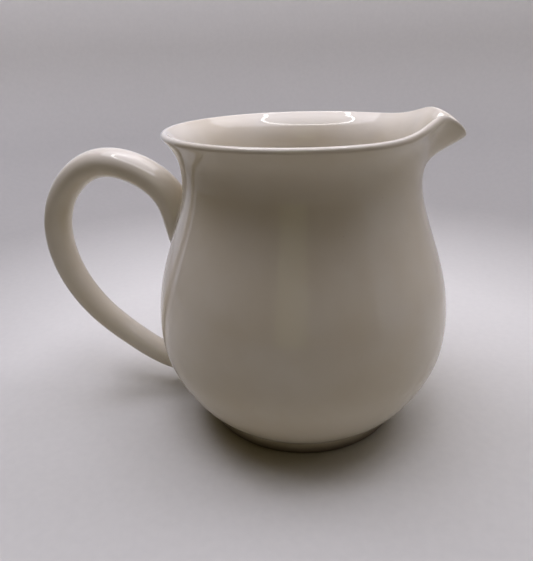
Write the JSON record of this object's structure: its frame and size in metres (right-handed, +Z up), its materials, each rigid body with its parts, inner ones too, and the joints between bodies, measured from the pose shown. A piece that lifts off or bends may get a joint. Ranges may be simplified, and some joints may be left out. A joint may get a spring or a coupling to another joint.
{
  "type": "ceramic pitcher",
  "caption": "Small round-bellied ceramic pitcher with a flared rim, a pulled pouring spout, a loop handle opposite it and a low foot ring, in glossy ivory glaze.",
  "frame": {"origin": "on the table plane, on the axis of the round body, at the middle of the foot; the middle of the base is recessed 0.8 mm above it", "axes": "+X from the axis towards the pouring spout, with the handle on -X; +Z up through the mouth; +Y to the left of someone looking along +X"},
  "size_m": [0.1594, 0.1086, 0.1141],
  "materials": {
    "ivory_glaze": "high-gloss warm ivory glaze over a pale stoneware body",
    "bare_clay": "unglazed fired clay, matt and slightly toothy",
    "slip_joint": "fired luting slip under the same ivory glaze"
  },
  "bodies": {
    "root": {"vessel_body": "ivory_glaze", "foot_ring": "bare_clay", "handle": "ivory_glaze", "upper_slip_joint": "slip_joint", "lower_slip_joint": "slip_joint"}
  },
  "joints": []
}
